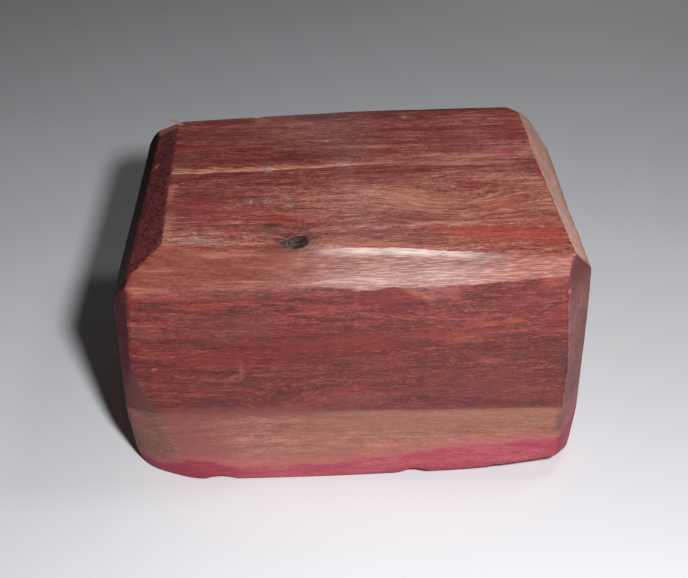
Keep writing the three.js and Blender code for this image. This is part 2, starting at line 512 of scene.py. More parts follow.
def sliver(route, widths, thicknesses, seed, sides=10):
    """The points and faces of a flat, twisting sliver of wood along a route, tapered by its widths."""
    ahead = np.gradient(route, axis=0)
    ahead /= np.linalg.norm(ahead, axis=1)[:, None]
    side = np.cross([0, 0, 1], ahead)
    side /= np.linalg.norm(side, axis=1)[:, None]
    upward = np.cross(ahead, side)
    turn = np.linspace(0, 2 * math.pi, sides, endpoint=False)
    rows = []
    for i in range(len(route)):
        splits = 1 + 0.22 * mixed_bits((np.arange(sides) + 31 * (i // 3)).astype(np.uint64), seed)
        across = np.cos(turn) * splits * widths[i] / 2
        over = np.sin(turn) * splits * thicknesses[i] / 2
        rows.append(route[i] + np.outer(across, side[i]) + np.outer(over, upward[i]))
    return np.concatenate(rows), tube_faces(len(route), sides)


def bend_route(start, bend, end, steps):
    """Points along a smooth curve from start to end, pulled towards bend."""
    start, bend, end = (np.array(place, float) for place in (start, bend, end))
    t = np.linspace(0, 1, steps)[:, None]
    return (1 - t) ** 2 * start + 2 * t * (1 - t) * bend + t**2 * end


def joined(name, parts):
    """One object from several (points, faces) pairs."""
    points, faces, offset = [], [], 0
    for part_points, part_faces in parts:
        points.append(part_points)
        faces += [[corner + offset for corner in face] for face in part_faces]
        offset += len(part_points)
    made = make_object(name, np.concatenate(points), faces)
    tidy = bmesh.new()
    tidy.from_mesh(made.data)
    bmesh.ops.recalc_face_normals(tidy, faces=tidy.faces[:])
    tidy.to_mesh(made.data)
    tidy.free()
    return made


def splinter():
    """The sliver lifted off the back left corner, with two hairs split from its tip."""
    low, high = (np.array(corner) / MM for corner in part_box("splinter"))
    root = np.array([high[0], low[1] + 0.35, TOP - 0.45])
    tip = np.array([low[0] + 0.8, high[1] - 0.2, high[2] - 0.1])
    bend = np.array([low[0] + 0.52 * (high[0] - low[0]), (root[1] + tip[1]) / 2, TOP + 0.12])
    share = np.linspace(0, 1, 22)
    widths = 0.12 + 0.72 * np.sin(np.pi * np.clip(share * 0.8 + 0.2, 0, 1)) ** 0.8 * (1 - 0.55 * share)
    thicknesses = 0.1 + 0.26 * (1 - share)
    spine = bend_route(root, bend, tip, len(share))
    parts = [sliver(spine, widths, thicknesses, 41)]
    split = spine[12]
    for hair, (lift, drift) in enumerate([(0.1, -0.5), (-0.18, 0.35)]):
        end = split + [-1.9, 0.5 + drift, 0.55 + lift]
        middle = (split + end) / 2 + [0, 0, -0.12]
        thin = 0.16 * (1 - np.linspace(0, 0.8, 12))
        parts.append(sliver(bend_route(split, middle, end, 12), thin, thin * 0.7, 43 + hair, sides=6))
    return joined("splinter_sliver", parts)


# Where the knife raised loose fibres: the middle of the patch, its spread in x and y, and how many fibres.
FIBRE_PATCHES = [
    ((-25.0, -20.4), (3.6, 0.5), 26),
    ((-19.0, -21.3), (2.5, 0.4), 9),
    ((-27.6, -3.5), (0.9, 2.5), 8),
]


def loose_fibres():
    """Fine pale fibres that lie on the top face along its front left edge."""
    POINTS = 7
    chance = np.random.default_rng(7)
    parts = []
    for (x, y), (spread_x, spread_y), count in FIBRE_PATCHES:
        for number in range(count):
            across, aside = chance.uniform(-1, 1), chance.uniform(-1, 1)
            place = np.array([x + spread_x * across, y + spread_y * aside, 0.0])
            long = chance.uniform(0.5, 1.9)
            heading = chance.normal(0, 0.3)
            ahead = np.array([math.cos(heading), math.sin(heading), 0]) * long / 2
            ends = [place - ahead, place + ahead * 0.1 + [0, chance.normal(0, 0.12), 0], place + ahead]
            level = bend_route(*ends, POINTS) + [0, 0, TOP]
            relief = facet_relief(level)
            for _ in range(4):
                level[:, 2] -= block_field(level, relief)
            level[:, 2] += 0.03 + chance.uniform(0, 0.1) * np.sin(np.linspace(0, math.pi, POINTS))
            taper = 0.4 + 0.6 * np.sin(np.linspace(0.3, math.pi - 0.3, POINTS))
            thin = chance.uniform(0.05, 0.11) * taper
            parts.append(sliver(level, thin, thin * 0.6, 60 + number, sides=5))
    return joined("raised_fibres", parts)


# ---------------------------------------------------------------- materials


def srgb(red, green, blue):
    """A shader colour from 0 to 255 display values."""
    values = np.array([red, green, blue]) / 255
    linear = np.where(values <= 0.04045, values / 12.92, ((values + 0.055) / 1.055) ** 2.4)
    return (*linear.tolist(), 1.0)


class Graph:
    """Writes the nodes of one node tree. Most methods add nodes and give back the last one's output."""

    def __init__(self, tree):
        self.nodes = tree.nodes
        self.links = tree.links
        self.nodes.clear()

    def add(self, kind, settings=None, **inputs):
        node = self.nodes.new(kind)
        for key, value in (settings or {}).items():
            setattr(node, key, value)
        for key, value in inputs.items():
            self.put(node.inputs[key], value)
        return node

    def put(self, socket, value):
        """Links an output to a socket, or sets its value. A colour of three numbers is a display value."""
        if isinstance(value, bpy.types.NodeSocket):
            self.links.new(value, socket)
        elif socket.type == "RGBA" and len(value) == 3:
            socket.default_value = srgb(*value)
        else:
            socket.default_value = value

    def math(self, operation, first, second=0.0, third=0.0):
        node = self.add("ShaderNodeMath", {"operation": operation})
        for socket, value in zip(node.inputs, (first, second, third)):
            self.put(socket, value)
        return node.outputs[0]

    def vector(self, operation, *values, **inputs):
        node = self.add("ShaderNodeVectorMath", {"operation": operation}, **inputs)
        for socket, value in zip(node.inputs, values):
            self.put(socket, value)
        return node.outputs["Value" if operation == "LENGTH" else "Vector"]

    def mix(self, amount, first, second, blend="MIX"):
        """Colour `first` where amount is 0 and `second` where it is 1."""
        node = self.add("ShaderNodeMix", {"data_type": "RGBA", "blend_type": blend})
        self.put(node.inputs[0], amount)
        self.put(node.inputs[6], first)
        self.put(node.inputs[7], second)
        return node.outputs[2]

    def step(self, value, low, high, top=1.0):
        """0 where value is below low, top above high, and smooth between. High may be the smaller one."""
        node = self.add("ShaderNodeMapRange", {"interpolation_type": "SMOOTHSTEP"})
        self.put(node.inputs["Value"], value)
        node.inputs["From Min"].default_value = low
        node.inputs["From Max"].default_value = high
        node.inputs["To Max"].default_value = top
        return node.outputs["Result"]

    def ramp(self, value, stops):
        """A colour that runs through [(value, colour), ...]."""
        node = self.add("ShaderNodeValToRGB", Fac=value)
        elements = node.color_ramp.elements
        while len(elements) < len(stops):
            elements.new(1.0)
        for element, (position, colour) in zip(elements, stops):
            element.position = position
            element.color = srgb(*colour)
        return node.outputs["Color"]

    def all_of(self, *amounts):
        """The product of several amounts."""
        product = amounts[0]
        for amount in amounts[1:]:
            product = self.math("MULTIPLY", product, amount)
        return product

    def any_of(self, *amounts):
        """The greatest of several amounts."""
        greatest = amounts[0]
        for amount in amounts[1:]:
            greatest = self.math("MAXIMUM", greatest, amount)
        return greatest

    def apart(self, first, second):
        """How far two amounts are from each other."""
        return self.math("ABSOLUTE", self.math("SUBTRACT", first, second))

    def blend(self, weighted):
        """The weighted sum of [(weight, amount), ...]."""
        total = 0.0
        for weight, amount in weighted:
            total = self.math("MULTIPLY_ADD", amount, weight, total)
        return total

    def bump(self, height, distance, strength=1.0, normal=None):
        """A normal roughened by a height from 0 to 1, `distance` millimetres deep."""
        node = self.add("ShaderNodeBump", Strength=strength, Distance=distance * MM, Height=height)
        if normal is not None:
            self.put(node.inputs["Normal"], normal)
        return node.outputs["Normal"]


class Surface(Graph):
    """The graph of one material, with the grain of the wood running through it."""

    def __init__(self, name, bulges=()):
        self.material = bpy.data.materials.new(name)
        self.material.use_nodes = True
        super().__init__(self.material.node_tree)
        coordinates = self.add("ShaderNodeTexCoord").outputs["Object"]
        self.place = self.vector("SCALE", coordinates, Scale=1 / MM)
        self.x, self.y, self.z = self.add("ShaderNodeSeparateXYZ", Vector=self.place).outputs
        self.grain = self.bent_grain(bulges)
        # Three amounts that roughen borders: a wandering one, a frayed one, and both together.
        self.rough_edge = self.math("SUBTRACT", self.noise((3.2, 0.7, 0.7), 4, 0.65, 4.0), 0.5)
        self.frayed = self.math("SUBTRACT", self.noise((2.2, 0.42, 0.4), 4, 0.85, 14.0), 0.5)
        self.broken = self.blend([(1.2, self.rough_edge), (3.4, self.frayed)])
        aside = self.math("MULTIPLY", self.broken, 0.25)
        shaken = self.add("ShaderNodeCombineXYZ", Y=aside, Z=aside).outputs[0]
        self.frayed_place = self.vector("ADD", self.place, shaken)
        self.level_places = {0.0: self.frayed_place}

    def bent_grain(self, bulges):
        """Object space bent so that straight grain in it wanders, and goes round each bulge."""
        slow = self.add("ShaderNodeTexNoise", Scale=1.0, Detail=1.0)
        self.put(slow.inputs["Vector"], self.vector("MULTIPLY", self.place, (1 / 50, 1 / 22, 1 / 22)))
        centred = self.vector("SUBTRACT", slow.outputs["Color"], (0.5, 0.5, 0.5))
        bent = self.vector("ADD", self.place, self.vector("MULTIPLY", centred, (0.0, 3.5, 3.5)))
        for centre, radii, shift in bulges:
            away = self.vector("DIVIDE", self.vector("SUBTRACT", self.place, centre), radii)
            amount = self.step(self.vector("LENGTH", away), 1.0, 0.0)
            bent = self.vector("ADD", bent, self.vector("SCALE", shift, Scale=amount))
        return bent

    def noise(self, cell, detail=2.0, roughness=0.55, shift=0.0, straight=False):
        """Noise from 0 to 1. `cell` is the size of its blotches along x, y and z, in millimetres."""
        scaled = self.in_cells(self.place if straight else self.grain, cell, shift)
        node = self.add("ShaderNodeTexNoise", Vector=scaled, Scale=1.0, Detail=detail, Roughness=roughness)
        return node.outputs["Fac"]

    def in_cells(self, place, cell, shift):
        """A place counted in cells of that size in millimetres, along x, y and z."""
        scale = [1 / size for size in cell]
        location = (shift, 1.7 * shift, 2.3 * shift)
        return self.add("ShaderNodeMapping", Vector=place, Scale=scale, Location=location).outputs[0]

    def dashes(self, cell, width, share, shift=0.0):
        """Short strokes along the grain, one in each cell, in that share of the cells. 1 in a stroke."""
        node = self.add("ShaderNodeTexVoronoi", Vector=self.in_cells(self.grain, cell, shift), Scale=1.0)
        chosen = self.add("ShaderNodeSeparateColor", Color=node.outputs["Color"]).outputs[0]
        stroke = self.step(node.outputs["Distance"], width, 0.5 * width)
        return self.all_of(stroke, self.step(chosen, share + 0.05, share - 0.05))

    def attribute(self, name):
        return self.add("ShaderNodeAttribute", {"attribute_name": name}).outputs["Fac"]

    def facet(self, name, soft=0.1, ragged=0.0):
        """1 on that kind of facet and 0 off it, with a border that may be ragged."""
        inside = self.blend([(1.0, self.attribute(name)), (2 * ragged, self.rough_edge)])
        return self.step(inside, -soft, soft)

    def levelled(self, rise):
        """The frayed place, with lines that rise by `rise` for each millimetre of x made level."""
        if rise not in self.level_places:
            drop = self.math("MULTIPLY", self.x, -rise)
            sunk = self.add("ShaderNodeCombineXYZ", Y=drop, Z=drop).outputs[0]
            self.level_places[rise] = self.vector("ADD", self.frayed_place, sunk)
        return self.level_places[rise]

    def patch(self, centre, radii, rise=0.0, strength=1.0):
        """`strength` in the middle of a rounded patch with a frayed border, and 0 outside it.

        Its long axis rises by `rise`, in y and in z, for each millimetre of x.
        """
        level = np.array(centre) - rise * centre[0] * np.array([0, 1, 1])
        scale = 1 / np.array(radii)
        away = self.vector("MULTIPLY_ADD", self.levelled(rise), scale.tolist(), (-level * scale).tolist())
        reach = self.math("ADD", self.vector("LENGTH", away), self.broken)
        return self.step(reach, 1.35, 0.1, strength)

    def finish(self, colour, roughness, normal, specular=0.4, anisotropic=0.0):
        """The material itself. An anisotropic one shines in a band across the grain, as cut fibres do."""
        shader = self.add("ShaderNodeBsdfPrincipled")
        self.put(shader.inputs["Base Color"], colour)
        self.put(shader.inputs["Roughness"], roughness)
        self.put(shader.inputs["Normal"], normal)
        shader.inputs["Specular IOR Level"].default_value = specular
        if anisotropic:
            shader.inputs["Anisotropic"].default_value = anisotropic
            shader.inputs["Anisotropic Rotation"].default_value = 0.25
            shader.inputs["Tangent"].default_value = (1.0, 0.03, 0.05)
        output = self.add("ShaderNodeOutputMaterial")
        self.links.new(shader.outputs["BSDF"], output.inputs["Surface"])
        return self.material


def grain_tones(graph):
    """The woodgrain that every wooden surface shares, as amounts around 0.5."""
    tones = {
        "band": graph.noise((75, 6.0, 5.0), 2, 0.5, 1.0),
        "streak": graph.noise((13, 1.3, 1.1), 3, 0.6, 2.0),
        "fibre": graph.noise((2.8, 0.32, 0.3), 3, 0.75, 3.0),
        "speck": graph.noise((0.6, 0.24, 0.24), 2, 0.7, 5.0),
        "hue": graph.noise((5, 1.5, 1.5), 4, 0.75, 7.0),
        "cloud": graph.noise((14, 8, 6), 2, 0.5, 8.0),
    }
    shares = {"band": 0.18, "streak": 0.22, "fibre": 0.34, "speck": 0.26}
    tones["all"] = graph.blend([(share, tones[name]) for name, share in shares.items()])
    return tones


def wood_colour(graph, tones, dark, middle, light, spread=0.13):
    """Wood that varies with all the tones of its grain. A smaller spread gives more contrast."""
    return graph.ramp(tones["all"], [(0.5 - spread, dark), (0.5, middle), (0.5 + spread, light)])


def tinted(graph, colour, changes):
    """A colour with each [(amount, strength, tint), ...] mixed in, in order."""
    for amount, strength, tint in changes:
        colour = graph.mix(graph.all_of(amount, strength), colour, tint)
    return colour


def end_grain(graph, dark, light, pore):
    """Wood cut across its fibres: a mosaic of tiny cells, with dark pores and faint growth rings."""
    PITH, RING_WIDTH = (0, 12, -46), 2.6  # the middle of the tree, under the block, in millimetres
    away = graph.vector("MULTIPLY", graph.vector("SUBTRACT", graph.grain, PITH), (0, 1, 1))
    rings = graph.math("FRACT", graph.math("DIVIDE", graph.vector("LENGTH", away), RING_WIDTH))
    mosaic = graph.noise((1.4, 0.4, 0.4), 3, 0.8, 11.0, straight=True)
    colour = graph.mix(graph.step(mosaic, 0.38, 0.62), dark, light)
    colour = graph.mix(graph.all_of(graph.step(rings, 0.6, 0.98), 0.3), colour, pore)
    pores = graph.dashes((1.6, 0.42, 0.42), 0.36, 0.6, 12.0)
    return graph.mix(graph.all_of(pores, 0.75), colour, pore)


def wood_normal(graph, tones, pores, strength=0.8):
    """The relief of the fibres and the pores."""
    normal = graph.bump(tones["streak"], 0.16, strength)
    normal = graph.bump(tones["fibre"], 0.09, strength, normal)
    normal = graph.bump(tones["speck"], 0.04, strength, normal)
    return graph.bump(graph.math("SUBTRACT", 1.0, pores), 0.05, strength, normal)


THROUGH = 99  # how far a patch on one face reaches into the wood

# Stains on the top face: the middle in x and y, the half length, the half width, the rise for each
# millimetre of x, the colour and the strength.
TOP_STAINS = [
    (-21, 16.5, 9, 2.6, 0, (118, 62, 66), 0.5),
    (-27.5, 11, 3.6, 1.2, 0, (176, 56, 70), 0.5),
    (-5.5, 22.6, 4, 1, 0.1, (104, 30, 44), 0.75),
    (14, 25.2, 15, 1.1, 0, (88, 42, 46), 0.75),
    (-15.4, 21.5, 1.9, 1.3, 0, (206, 160, 112), 0.85),
    (-12, 22, 1.8, 0.8, 0, (178, 100, 66), 0.6),
    (-19, 21.4, 7, 0.9, 0.1, (150, 74, 52), 0.5),
    (27.6, 15.5, 4, 7, 0, (140, 42, 52), 0.6),
    (28.6, 18, 0.9, 1.9, 0, (190, 62, 54), 0.45),
    (25.8, 7.9, 2.8, 2.2, 0, (176, 60, 96), 0.55),
    (19.5, 12.5, 6, 3.4, 0, (158, 78, 86), 0.45),
    (4.8, 10.6, 2.6, 0.7, 0.1, (222, 156, 120), 0.85),
    (13.5, 7, 2.4, 0.6, 0.1, (224, 160, 134), 0.7),
    (20, 6.2, 7, 0.9, 0.1, (212, 146, 122), 0.6),
    (19, 3.6, 7.5, 0.8, 0, (214, 150, 124), 0.6),
    (5.5, 1, 8, 2.4, 0.1, (128, 62, 54), 0.55),
    (12.3, 1.6, 2.4, 0.8, 0, (92, 44, 42), 0.65),
    (6.8, 7.9, 2.4, 0.9, 0, (156, 62, 44), 0.5),
    (3, -2.2, 6, 1.6, 0, (122, 56, 52), 0.5),
    (-1, -3.2, 3.4, 0.3, -0.1, (204, 138, 124), 0.5),
    (18.8, -3.8, 2.6, 2.6, 0, (136, 42, 46), 0.6),
    (11, -8, 8, 3.6, -0.2, (204, 138, 112), 0.5),
    (22.5, -10.5, 4.4, 1.8, -0.1, (196, 108, 76), 0.5),
    (26.5, -6.5, 4, 4.4, 0, (146, 72, 60), 0.45),
    (18.3, -11.4, 4.4, 0.28, 0.3, (96, 44, 36), 0.7),
    (-10.9, -13.4, 2.4, 2, 0, (166, 62, 48), 0.5),
    (-7.2, -14.3, 3.2, 1.2, 0, (182, 60, 64), 0.45),
    (-12.4, -15.9, 1.9, 1.1, 0, (84, 38, 40), 0.7),
    (-12.4, -17.4, 2.6, 1.3, -0.1, (112, 82, 70), 0.65),
    (-7.2, -17.6, 1.5, 2, 0.1, (98, 66, 60), 0.6),
    (-18.6, -17.4, 2.6, 1.7, 0, (160, 58, 86), 0.45),
    (-25, -8.5, 5.4, 3.6, 0, (152, 56, 74), 0.55),
    (-20, -12.5, 8, 3, 0, (160, 62, 72), 0.4),
    (-28.8, -4.6, 0.9, 4, 0, (226, 152, 122), 0.85),
    (-28.2, -15, 0.9, 4.6, 0, (206, 148, 130), 0.45),
    (-23, -20.4, 4, 0.9, -0.1, (204, 170, 156), 0.55),
    (3.6, -20.1, 2.2, 0.8, -0.1, (104, 42, 40), 0.75),
    (7, -15.6, 2.6, 0.6, -0.2, (110, 48, 44), 0.65),
    (5, -18.4, 5, 0.7, -0.1, (146, 54, 54), 0.5),
    (3.5, -22, 7, 0.8, -0.1, (206, 116, 82), 0.55),
    (22, -19.5, 10, 3, -0.1, (184, 72, 56), 0.55),
    (29.3, -20.5, 3.4, 4.6, 0, (176, 62, 48), 0.5),
    (16.5, -18.3, 5, 0.6, -0.1, (176, 56, 58), 0.6),
    (14, -16, 6, 0.5, -0.1, (222, 148, 116), 0.45),
]

# Stains on the front face, in x and z in the same way.
FRONT_STAINS = [
    (-33.2, 34.8, 1.3, 2.4, 0, (190, 76, 54), 0.4),
    (-26, 34.6, 7, 0.5, 0, (150, 46, 42), 0.65),
    (-22, 33.2, 9, 0.9, 0.1, (166, 82, 66), 0.4),
    (-30.5, 28.8, 2.8, 2.2, 0, (142, 96, 84), 0.5),
    (-18, 28.8, 8, 2.4, 0.1, (146, 104, 94), 0.4),
    (-20, 31, 10, 1.6, 0, (116, 66, 58), 0.4),
    (4, 34.2, 5, 2, -0.1, (120, 40, 42), 0.7),
    (-3.5, 33, 4, 1.6, 0.1, (140, 62, 62), 0.4),
    (-6, 26, 28, 5, 0, (112, 34, 32), 0.55),
    (1, 26.6, 15, 1.6, 0.1, (140, 60, 42), 0.5),
    (-18, 24.2, 13, 1.4, 0.1, (126, 38, 36), 0.7),
    (-20, 19.2, 13, 1.6, 0, (94, 44, 42), 0.5),
    (2, 20.6, 18, 1.6, 0, (104, 48, 46), 0.45),
    (-18, 15.4, 13, 1, 0, (98, 46, 48), 0.5),
    (1, 15.9, 6, 1.4, 0.1, (148, 88, 82), 0.5),
    (16, 26.5, 3.6, 1, 0, (180, 104, 80), 0.4),
    (13.5, 27.4, 6, 1, 0, (156, 78, 58), 0.4),
    (21, 29.6, 5, 0.6, 0.2, (168, 80, 54), 0.5),
    (20.5, 22.7, 3.6, 0.9, -0.2, (158, 90, 82), 0.5),
    (20, 18, 11, 3.4, 0, (134, 66, 68), 0.45),
    (26, 24, 5, 1.6, 0.1, (110, 58, 54), 0.4),
    (30, 30.2, 3.2, 3.2, 0.2, (140, 44, 56), 0.45),
    (29.4, 36.4, 2.8, 1.5, 0.1, (190, 106, 80), 0.4),
    (-30.4, 22, 0.4, 0.25, 0, (200, 150, 140), 0.4),
    (-17.2, 21.4, 0.4, 1.6, 0, (186, 122, 112), 0.4),
    (-18.3, 20.4, 1.2, 0.4, 0.5, (186, 122, 112), 0.4),
    (26, 33.4, 5, 1.6, 0.1, (146, 68, 70), 0.5),
    (31.6, 21.8, 0.6, 3, 0, (84, 56, 50), 0.75),
    (31.8, 30, 0.5, 5, 0, (112, 62, 60), 0.4),
]


def stained(graph, colour, facet, stains, on_top):
    """A colour with the stains of one face mixed in where that face shows."""
    result = colour
    for x, other, long, wide, rise, stain, strength in stains:
        centre = (x, other, TOP) if on_top else (x, FRONT, other)
        radii = (long, wide, THROUGH) if on_top else (long, THROUGH, wide)
        amount = graph.patch(centre, radii, rise, strength)
        result = graph.mix(amount, result, stain)
    return graph.mix(facet, colour, result)


def ledge_colours(graph, colour, top):
    """The torn ledge on the top face: a pale strip along its step, painted as a highlight, that ends in a
    dark line.
    """
    (x0, y0), (x1, y1) = LEDGE
    slope = (y1 - y0) / (x1 - x0)
    line = graph.blend([(slope, graph.x), (y0 - x0 * slope, 1.0), (0.5, graph.rough_edge)])
    above = graph.math("SUBTRACT", graph.y, line)
    right_end = graph.step(graph.x, 11, -1)
    width = graph.blend([(-0.02, graph.x), (0.9, 1.0), (2.0, graph.rough_edge), (4.0, graph.frayed)])
    upper_edge = graph.step(graph.math("SUBTRACT", above, width), 0.6, -0.5)
    lit = graph.all_of(top, graph.step(above, -0.1, 0.05), upper_edge)
    under = graph.all_of(top, graph.step(above, 0.0, -0.08), graph.step(above, -0.9, -0.3))
    # The strip's pale colour is a painted highlight on the ledge's step.
    clean = graph.mix(graph.step(graph.frayed, -0.12, 0.12), (172, 110, 92), (222, 168, 138))
    return tinted(graph, colour, [
        (graph.all_of(lit, right_end), 0.8, clean),
        (graph.all_of(under, right_end), 0.6, (104, 46, 46)),
    ])


# Specks of grey dust that cling to the top face: x, y and radius.
DUST = [
    (-13.5, 2.5, 0.75), (-13.3, 3.7, 0.3), (-9.6, 1.8, 0.5), (-4.4, -0.4, 0.25), (-4.5, -5, 0.3),
    (-4.2, -6.2, 0.45), (-16, -8, 0.8), (-13, -8.3, 0.9), (-9.7, -7.8, 0.4), (-9.9, -9.6, 0.7),
    (9.7, 22, 0.7), (-4, 13, 0.45), (28.8, -17.6, 0.35), (3, -11.5, 0.25), (-21.5, -21.4, 0.5),
    (-23.6, -19.7, 0.55),
]


def dusty(graph, colour, top):
    """A colour with a grey smudge at each place in DUST, and pale grains in it."""
    smudge = 0.0
    for x, y, radius in DUST:
        smudge = graph.any_of(smudge, graph.patch((x, y, TOP), (1.2 * radius, radius, 9)))
    smudge = graph.all_of(top, smudge)
    grains = graph.step(graph.noise((0.42, 0.3, 0.4), 2, 0.7, 18.0, straight=True), 0.5, 0.62)
    return tinted(graph, colour, [
        (smudge, 0.35, (156, 130, 134)),
        (graph.all_of(smudge, grains), 0.6, (214, 204, 208)),
    ])


def dark_wood_material():
    """The red-brown upper wood, with each facet in the state that its knife cut left it."""
    flame = ((17.0, -9.5, TOP), (15.0, 8.0, 40.0), (0.0, 3.2, 0.0))
    cusp = ((-11.0, FRONT, 13.5), (9.0, 20.0, 7.0), (0.0, 0.0, 3.4))
    round_knot = ((-8.5, -18.0, TOP), (6.0, 5.0, 12.0), (0.0, 1.6, 0.0))
    graph = Surface("dark_wood", [flame, cusp, round_knot])
    tones = grain_tones(graph)
    top = graph.facet("top", 0.15)
    front = graph.facet("front", 0.2)

    # The top gets a lighter copy of the wood than the front and the other faces: painted light, as the top
    # gets more light from above.
    inner = wood_colour(graph, tones, (58, 17, 17), (108, 43, 40), (166, 94, 84), 0.08)
    outer = wood_colour(graph, tones, (100, 42, 38), (160, 93, 82), (220, 158, 136), 0.095)
    colour = graph.mix(top, inner, outer)
    rosy = graph.step(tones["hue"], 0.53, 0.66)
    brown = graph.step(tones["hue"], 0.47, 0.34)
    colour = tinted(graph, colour, [
        (rosy, 0.45, (140, 40, 50)),
        (brown, 0.45, (124, 72, 52)),
        (graph.all_of(front, graph.step(graph.z, 22, 15)), 0.35, (112, 58, 56)),
    ])
    colour = stained(graph, colour, top, TOP_STAINS, on_top=True)
    colour = stained(graph, colour, front, FRONT_STAINS, on_top=False)
    # The top is darker and more purple towards its back left corner. The front is darkened and reddened all
    # over: the darkening is painted shade, the reddening its own colour.
    towards_right = graph.blend([(0.5, graph.x), (-1.0, graph.y), (9.0, graph.rough_edge)])
    back_left = graph.all_of(top, graph.step(towards_right, 7, -13))
    colour = graph.mix(back_left, colour, (0.72, 0.52, 0.58, 1), "MULTIPLY")
    colour = graph.mix(front, colour, (0.77, 0.51, 0.51, 1), "MULTIPLY")
    colour = ledge_colours(graph, colour, top)
    colour = seam_tint(graph, front_streaks(graph, colour, front))

    pores = graph.dashes((2.4, 0.3, 0.3), 0.32, 0.6)
    wisps = graph.dashes((2.8, 0.26, 0.26), 0.28, 0.4, 21.0)
    colour = tinted(graph, colour, [(pores, 0.45, (66, 24, 24)), (wisps, 0.22, (190, 126, 108))])
    # Ink that ran along the right edge, under the bevel.
    edge = graph.blend([(1.0, graph.x), (0.055, graph.y), (1.5, graph.rough_edge)])
    run = graph.all_of(
        top,
        graph.step(edge, 30.0, 30.9),
        graph.step(graph.y, -6, -3),
        graph.step(graph.y, 6, 3),
    )
    colour = graph.mix(graph.all_of(run, 0.75), colour, (168, 30, 72))
    colour = dusty(graph, colour, top)
    # The wood round the dead knot is stained dark.
    halo = graph.patch((-8.6, -21.2, TOP), (3.4, 2.9, 9), strength=0.85)
    colour = graph.mix(halo, colour, (62, 40, 37))

    # The bevel's border is crisp to the right, and fades into the front to the left.
    crisp = graph.facet("front_bevel", 0.08, 0.3)
    faded = graph.facet("front_bevel", 1.3, 1.2)
    to_left = graph.step(graph.x, 3, -12)
    front_bevel = graph.blend([(1.0, crisp), (to_left, graph.math("SUBTRACT", faded, crisp))])
    colour = graph.mix(front_bevel, colour, front_bevel_colour(graph, tones))
    right_bevel = graph.facet("right_bevel", 0.08, 0.22)
    colour = graph.mix(right_bevel, colour, right_bevel_colour(graph, tones))
    left_bevel = graph.facet("left_bevel", 0.1, 0.3)
    colour = graph.mix(left_bevel, colour, end_grain(graph, (78, 26, 34), (148, 74, 74), (34, 10, 18)))
    # The steep strip at the left end is painted near black: partly painted shade and partly ink stain.
    colour = tinted(graph, colour, [(graph.facet("left_steep", 0.25, 0.3), 0.85, (42, 25, 25))])
    ends = graph.facet("ends", 0.2, 0.2)
    colour = graph.mix(ends, colour, end_grain(graph, (108, 52, 50), (156, 94, 86), (66, 28, 30)))
    chamfer = wood_colour(graph, tones, (58, 24, 30), (84, 38, 44), (112, 58, 60))
    chamfer = graph.mix(graph.all_of(graph.step(graph.z, 25, 14), 0.7), chamfer, (108, 64, 60))
    colour = graph.mix(graph.facet("left_chamfer", 0.55, 0.5), colour, chamfer)
    greyed = wood_colour(graph, tones, (114, 70, 70), (142, 93, 92), (168, 118, 114))
    greyed = graph.mix(graph.all_of(graph.step(graph.z, 30, 37), 0.75), greyed, (104, 54, 54))
    colour = graph.mix(graph.facet("right_chamfer", 0.12, 0.12), colour, greyed)

    clean = wood_colour(graph, tones, (170, 98, 76), (194, 124, 98), (216, 152, 122))
    colour = graph.mix(graph.facet("corner_nicks", 0.08, 0.1), colour, clean)
    chips = graph.step(graph.attribute("hollow"), -0.1, 0.02)
    colour = graph.mix(graph.all_of(chips, 0.6), colour, clean)

    silky = graph.all_of(front_bevel, graph.blend([(1.0, 1.0), (-0.6, graph.step(graph.x, 10, 26))]))
    shine = graph.blend([(-0.34, silky), (-0.15, right_bevel), (-0.16, glossy_painted_highlight_strip(graph))])
    roughness = graph.blend([(0.25, tones["fibre"]), (0.66, 1.0), (1.0, shine)])
    normal = wood_normal(graph, tones, pores, graph.blend([(0.85, 1.0), (-0.45, front_bevel)]))
    return graph.finish(colour, roughness, normal, 0.45, anisotropic=0.75)


def glossy_painted_highlight_strip(graph):
    """Where the top edge of the front bevel, to the right of the knot, is made glossier and given a painted
    highlight.
    """
    return graph.all_of(
        graph.step(graph.attribute("top"), -0.95, -0.25),
        graph.step(graph.x, -8, 1),
        graph.step(graph.x, 24, 12),
    )


def seam_tint(graph, colour):
    """The two woods run into each other at the left of the front, and meet more sharply at the right."""
    reach = graph.step(graph.x, 6, -12)
    near = graph.apart(graph.z, SEAM)
    wide = graph.all_of(graph.step(graph.blend([(1.0, near), (3.0, graph.frayed)]), 1.9, 0.0), reach)
    narrow = graph.step(graph.blend([(1.0, near), (1.2, graph.frayed)]), 0.7, 0.0)
    colour = graph.mix(graph.all_of(wide, 0.9), colour, (118, 62, 58))
    return graph.mix(graph.all_of(narrow, 0.55), colour, (120, 68, 60))


